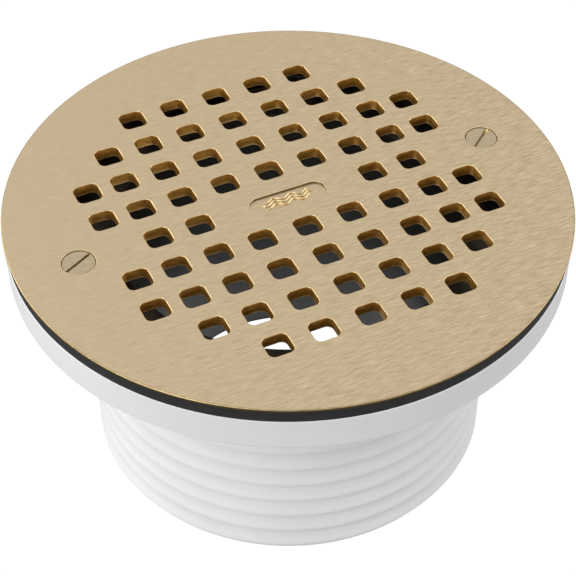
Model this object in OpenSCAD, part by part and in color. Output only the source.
// Round floor drain strainer: a perforated metal plate screwed to a threaded plastic spud,
// with a sealing gasket under its rim and a funnel liner in the throat.
// The spud's lower end rests on z = 0, its axis is Z, and the two screws lie along X.

/* [Plate] */
// Diameter of the round strainer plate
plate_d = 152.4; // [140:0.1:170]
// Thickness of the plate where it is perforated
plate_t = 3.2; // [2.6:0.1:3.4]
// Thickness of the thin lip at the plate's rim
lip_t = 0.8; // [0.5:0.1:1.2]
// Diameter of the thick middle of the plate
hub_d = 132; // [130:0.5:136]
// Chamfer on the plate's upper outer edge
plate_chamfer = 0.35; // [0.1:0.05:0.5]

/* [Perforation] */
// Side of each square hole
hole_side = 6.9; // [4:0.1:8]
// Radius of each hole's corners
hole_corner_r = 1.7; // [0.5:0.1:1.9]
// Distance from one row of holes to the next
row_pitch = 12.1; // [11:0.1:12.5]
// Distance from the middle row, where the emblem is, to the rows beside it
row_first = 12.3; // [11:0.1:12.5]
// Columns close up towards the rim: column j lies at this radius times sin(j * column_step)
column_r = 74.4; // [68:0.1:76]
// Angle from one column of holes to the next
column_step = 10; // [9:0.25:10]

/* [Emblem recess] */
// Length of the shallow recess at the plate's centre
recess_len = 21.9; // [12:0.1:26]
// Width of the recess, which has round ends
recess_w = 6.2; // [4:0.1:7]
// Depth of the recess
recess_depth = 0.5; // [0.2:0.1:1]

/* [Screws] */
// Distance from the plate's centre to each screw
screw_r = 59.3; // [58.5:0.1:60]
// Diameter of the screw's flat head
head_d = 8.6; // [8:0.1:9.4]
// Diameter of the screw's thread
screw_d = 4.8; // [4:0.1:5]
// Length of the screw, head included
screw_len = 11.5; // [10:0.5:11.5]
// Angle of the slot in the left screw
slot_angle_left = 27; // [0:1:179]
// Angle of the slot in the right screw
slot_angle_right = 38; // [0:1:179]

/* [Spud] */
// Diameter of the spud's flange
flange_d = 151.8; // [138:0.1:152]
// Thickness of the flange
flange_t = 9.4; // [9:0.1:12]
// Length of the threaded tail below the flange
tail_len = 66.1; // [50:0.1:90]
// Diameter over the crests of the tail's thread
thread_d = 112.2; // [112:0.1:114]
// Distance from one thread ridge to the next
thread_pitch = 6.35; // [5:0.05:8]
// Depth of the thread
thread_depth = 1.1; // [0.6:0.1:1.5]
// Bore of the tail
tail_bore_d = 100; // [99:0.5:102]

/* [Gasket and liner] */
// Outer diameter of the gasket
gasket_d = 151.4; // [138:0.1:152]
// Thickness of the gasket's outer band
gasket_t = 3.8; // [2.9:0.1:4]
// Diameter of the throat at the liner's ledge
throat_top_d = 94.4; // [80:0.1:95]
// Diameter of the throat at the liner's lower end
throat_bottom_d = 69; // [50:0.1:80]
// Depth of the liner's ledge below the flange's upper face
ledge_depth = 4.7; // [4:0.1:6]
// Wall of the liner
liner_wall = 2; // [1.5:0.1:2.2]

/* [Hidden] */
$fn = 64;

// Levels, from the lower end of the spud upwards
flange_under_z = tail_len;
flange_top_z = tail_len + flange_t;
lip_under_z = flange_top_z + gasket_t;
top_z = lip_under_z + lip_t;
hub_under_z = top_z - plate_t;
ledge_z = flange_top_z - ledge_depth;
shelf_z = ledge_z - 2.5;                 // where the liner rests inside the spud

// Radial clearances and small sizes
slip = 0.3;                              // between round pieces that come apart
turn_gap = 0.05;                         // between a screw and its insert
cut = 1;                                 // how far a cutting solid runs past a face
rim_r = 61.5;                            // outside of the liner's rim
head_sink = 0.15;                        // how far the screw heads lie below the plate
head_land = 0.3;                         // straight edge of a screw head
head_cone = (head_d - screw_d) / 2 / tan(41);
head_gap = 0.2;                          // between a screw head and its countersink
slot_w = 0.8;
slot_depth = 1.2;
insert_r = 3.5;
insert_len = 8.3;
boss_r = 5.5;                            // screw boss inside the flange

// Thread ridges: ridge k has its lower edge at ridge_z(k). Below ridge 0 the tail ends at the root.
ridge_count = 10;
ridge_flat = 0.45;                       // straight crest of a ridge
ridge_step = 0.9;                        // height of the steep side below a crest
ridge_low_z = 2.25;                      // lower edge of the lowest ridge
root_r = thread_d / 2 - thread_depth;
end_chamfer = 0.4;
flank_points = 5;
function ridge_z(k) = ridge_low_z + k * thread_pitch;
// The long side of a ridge swells from the root to the crest above the next ridge
function flank(k) = [for (i = [0 : flank_points])
    let (s = i / flank_points, z0 = ridge_z(k) - ridge_step, z1 = ridge_z(k - 1) + ridge_flat)
        [thread_d / 2 - thread_depth * (1 - s * s), z0 + (z1 - z0) * s]];
function ridge(k) = concat([[thread_d / 2, ridge_z(k)]], flank(k));
function ridges(k) = k < 1 ? [] : concat(ridge(k), ridges(k - 1));

module at_screw(side) {
    translate([side * screw_r, 0, 0]) children();
}

module rounded_square(side, r) {
    square([side, side - 2 * r], center = true);
    square([side - 2 * r, side], center = true);
    for (x = [-1, 1], y = [-1, 1])
        translate([x * (side / 2 - r), y * (side / 2 - r)]) circle(r);
}

module hole_at(column, row) {
    translate([column_r * sin(column * column_step), row_y(row)])
        rounded_square(hole_side, hole_corner_r);
}

// The grid: full rows near the middle, shorter ones towards the rim, the emblem in the middle
module hole_grid() {
    for (side = [-1, 1], column = [2, 3]) hole_at(side * column, 0);
    for (side = [-1, 1], row = [1 : 4])
        for (column = [-last_column(row) : last_column(row)]) hole_at(column, side * row);
}
function last_column(row) = row < 3 ? 4 : row == 3 ? 3 : 2;
function row_y(row) = sign(row) * (row_first + (abs(row) - 1) * row_pitch);

module emblem_recess() {
    span = recess_len - recess_w;
    square([span, recess_w], center = true);
    for (side = [-1, 1]) translate([side * span / 2, 0]) circle(d = recess_w);
}

module countersink() {
    rise = head_sink + head_land;
    mouth_r = head_d / 2 + head_gap;
    throat_r = screw_d / 2 + slip;
    translate([0, 0, top_z - rise]) cylinder(h = rise + cut, r = mouth_r);
    translate([0, 0, top_z - rise - head_cone])
        cylinder(h = head_cone, r1 = screw_d / 2 + head_gap, r2 = mouth_r);
    translate([0, 0, hub_under_z - cut]) cylinder(h = plate_t, r = throat_r);
}

module strainer_plate() {
    color([0.76, 0.66, 0.48]) difference() {
        rotate_extrude($fn = 128) polygon([
            [0, hub_under_z], [hub_d / 2, hub_under_z], [hub_d / 2, lip_under_z],
            [plate_d / 2, lip_under_z], [plate_d / 2, top_z - plate_chamfer],
            [plate_d / 2 - plate_chamfer, top_z], [0, top_z]]);
        translate([0, 0, hub_under_z - cut]) linear_extrude(plate_t + 2 * cut) hole_grid();
        translate([0, 0, top_z - recess_depth]) linear_extrude(cut) emblem_recess();
        for (side = [-1, 1]) at_screw(side) countersink();
    }
}

// Thick band under the plate's lip, with a thin web that the plate clamps
module sealing_gasket() {
    band_r = hub_d / 2 + slip;
    web_r = rim_r - liner_wall / 2;
    color([0.17, 0.17, 0.18]) difference() {
        rotate_extrude($fn = 128) polygon([
            [web_r, flange_top_z], [gasket_d / 2, flange_top_z], [gasket_d / 2, lip_under_z],
            [band_r, lip_under_z], [band_r, hub_under_z], [web_r, hub_under_z]]);
        for (side = [-1, 1]) at_screw(side)
            translate([0, 0, flange_top_z - cut]) cylinder(h = plate_t + cut, r = screw_d / 2 + 2 * slip);
    }
}

// Cup with a flat ledge and a funnel that narrows down to the spud's lower end
module throat_liner() {
    color([0.11, 0.11, 0.12]) difference() {
        rotate_extrude($fn = 128) polygon([
            [rim_r - liner_wall, flange_top_z], [rim_r, flange_top_z], [rim_r, shelf_z],
            [throat_top_d / 2 + liner_wall, shelf_z], [throat_bottom_d / 2 + liner_wall, 0],
            [throat_bottom_d / 2, 0], [throat_top_d / 2, ledge_z],
            [rim_r - liner_wall, ledge_z]]);
        for (side = [-1, 1]) at_screw(side)
            translate([0, 0, shelf_z - cut]) cylinder(h = flange_t + cut, r = boss_r + slip);
    }
}

module spud_body() {
    edge = 0.4;
    rotate_extrude($fn = 128) polygon(concat(
        [[rim_r + slip, flange_top_z], [flange_d / 2 - edge, flange_top_z],
         [flange_d / 2, flange_top_z - edge], [flange_d / 2, flange_under_z + edge],
         [flange_d / 2 - edge, flange_under_z], [thread_d / 2, flange_under_z]],
        ridges(ridge_count - 1),
        [[thread_d / 2, ridge_low_z], [root_r, ridge_low_z - ridge_step], [root_r, end_chamfer],
         [root_r - end_chamfer, 0], [tail_bore_d / 2, 0],
         [tail_bore_d / 2, shelf_z], [rim_r + slip, shelf_z]]));
}

module threaded_spud() {
    color([0.95, 0.95, 0.95]) difference() {
        union() {
            spud_body();
            for (side = [-1, 1]) at_screw(side)
                translate([0, 0, flange_under_z]) cylinder(h = flange_t, r = boss_r);
        }
        for (side = [-1, 1]) at_screw(side)
            translate([0, 0, flange_top_z - insert_len]) cylinder(h = insert_len + cut, r = insert_r);
    }
}

// Flat-head slotted machine screw, its thread shown as rings
module screw(slot_angle) {
    tip_z = top_z - head_sink - screw_len;
    head_z = top_z - head_sink - head_land;
    neck_z = head_z - head_cone;
    core_r = screw_d / 2 - 0.5;
    ring_pitch = 1.06;
    rings = floor((neck_z - tip_z - 1.5) / ring_pitch);
    color([0.72, 0.67, 0.55]) difference() {
        rotate_extrude() polygon(concat(
            [[0, tip_z], [core_r - 0.4, tip_z], [core_r, tip_z + 0.4]],
            [for (i = [0 : rings - 1], p = [[core_r, 0], [screw_d / 2, 0.45], [screw_d / 2, 0.6]])
                [p[0], tip_z + 0.5 + i * ring_pitch + p[1]]],
            [[core_r, tip_z + 0.5 + rings * ring_pitch], [screw_d / 2, neck_z - 0.3],
             [screw_d / 2, neck_z], [head_d / 2, head_z],
             [head_d / 2, top_z - head_sink], [0, top_z - head_sink]]));
        rotate(slot_angle) translate([-head_d, -slot_w / 2, top_z - head_sink - slot_depth])
            cube([2 * head_d, slot_w, slot_depth + cut]);
    }
}

// Threaded insert set into the spud's boss
module threaded_insert() {
    groove_z = flange_top_z - insert_len / 2;
    color([0.80, 0.64, 0.30]) difference() {
        translate([0, 0, flange_top_z - insert_len]) cylinder(h = insert_len, r = insert_r);
        translate([0, 0, flange_top_z - insert_len - cut])
            cylinder(h = insert_len + 2 * cut, r = screw_d / 2 + turn_gap);
        translate([0, 0, groove_z - 0.6]) difference() {
            cylinder(h = 1.2, r = insert_r + cut);
            translate([0, 0, -cut]) cylinder(h = 1.2 + 2 * cut, r = insert_r - 0.4);
        }
    }
}

module screw_left() { at_screw(-1) screw(slot_angle_left); }
module screw_right() { at_screw(1) screw(slot_angle_right); }
module insert_left() { at_screw(-1) threaded_insert(); }
module insert_right() { at_screw(1) threaded_insert(); }

strainer_plate();
sealing_gasket();
throat_liner();
threaded_spud();
screw_left();
screw_right();
insert_left();
insert_right();
